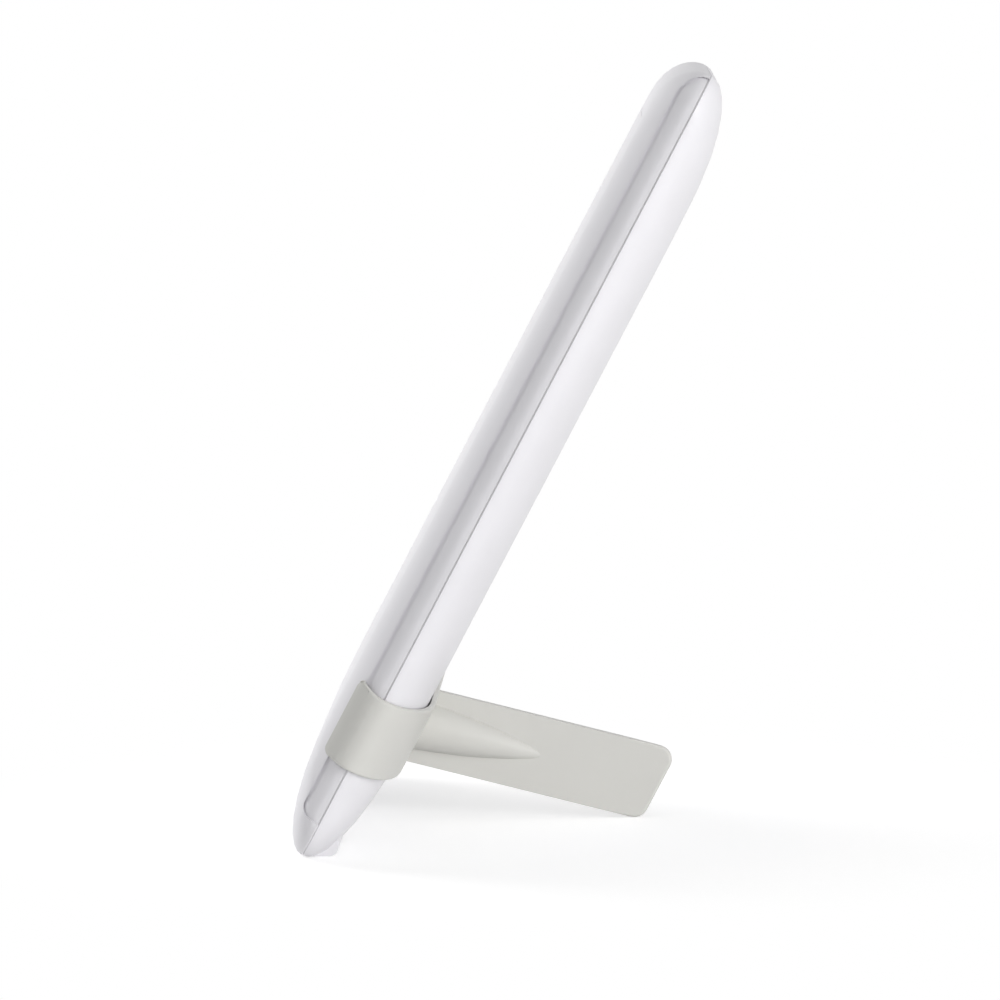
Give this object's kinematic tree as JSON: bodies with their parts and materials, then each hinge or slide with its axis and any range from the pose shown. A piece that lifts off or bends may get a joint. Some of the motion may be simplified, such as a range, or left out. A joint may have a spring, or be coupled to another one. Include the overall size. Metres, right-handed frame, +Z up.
{
  "type": "light therapy lamp",
  "caption": "Slim tablet light therapy lamp of two rounded shells, leaning back on moulded feet and a slide-on clip stand with a rear fin.",
  "frame": {"origin": "centre of the footprint of the whole lamp, on the floor", "axes": "+Z up, +Y towards the back where the stand's fin reaches the floor, +X across the lamp; the light window faces -Y and leans back by 27.7 degrees"},
  "size_m": [0.1586, 0.1158, 0.2113],
  "materials": {
    "shell_plastic": "smooth glossy white moulding",
    "stand_plastic": "satin warm light grey moulding",
    "button_plastic": "satin white",
    "diffuser_acrylic": "opal acrylic, satin",
    "diffuser_film": "thin diffusing film",
    "reflector_white": "matt white moulding",
    "white_board": "white solder mask",
    "led_lens": "yellow phosphor",
    "circuit_board": "green solder mask",
    "black_plastic": "plain",
    "plunger_plastic": "plain",
    "ferrite": "dull",
    "capacitor_cans": "plain",
    "screw_steel": "zinc plated",
    "contact_metal": "nickel plated"
  },
  "bodies": {
    "lamp": {"board_header": "black_plastic", "board_screws": "screw_steel", "controller_chip": "black_plastic", "diffuser_film": "diffuser_film", "diffuser_panel": "diffuser_acrylic", "driver_board": "circuit_board", "driver_coil": "ferrite", "driver_screws": "screw_steel", "filter_capacitors": "capacitor_cans", "front_frame": "shell_plastic", "housing_screws": "screw_steel", "inlet_contact": "contact_metal", "inlet_pin": "contact_metal", "led_board": "white_board", "led_chips": "led_lens", "power_inlet": "black_plastic", "rear_shell": "shell_plastic", "reflector_tray": "reflector_white", "switch_housing": "black_plastic"},
    "stand": {"stand": "stand_plastic"},
    "button": {"power_button": "button_plastic", "switch_plunger": "plunger_plastic"}
  },
  "joints": [
    {"name": "stand_slide", "type": "slide", "parent": "lamp", "child": "stand", "axis": [0, 0.4648, 0.8854], "range_m": [-0.024, 0.12]},
    {"name": "button_press", "type": "slide", "parent": "lamp", "child": "button", "axis": [0, -0.8854, 0.4648], "range_m": [0, 0.0006], "stiffness_N_per_m": 1500, "springref_m": -0.0004}
  ]
}
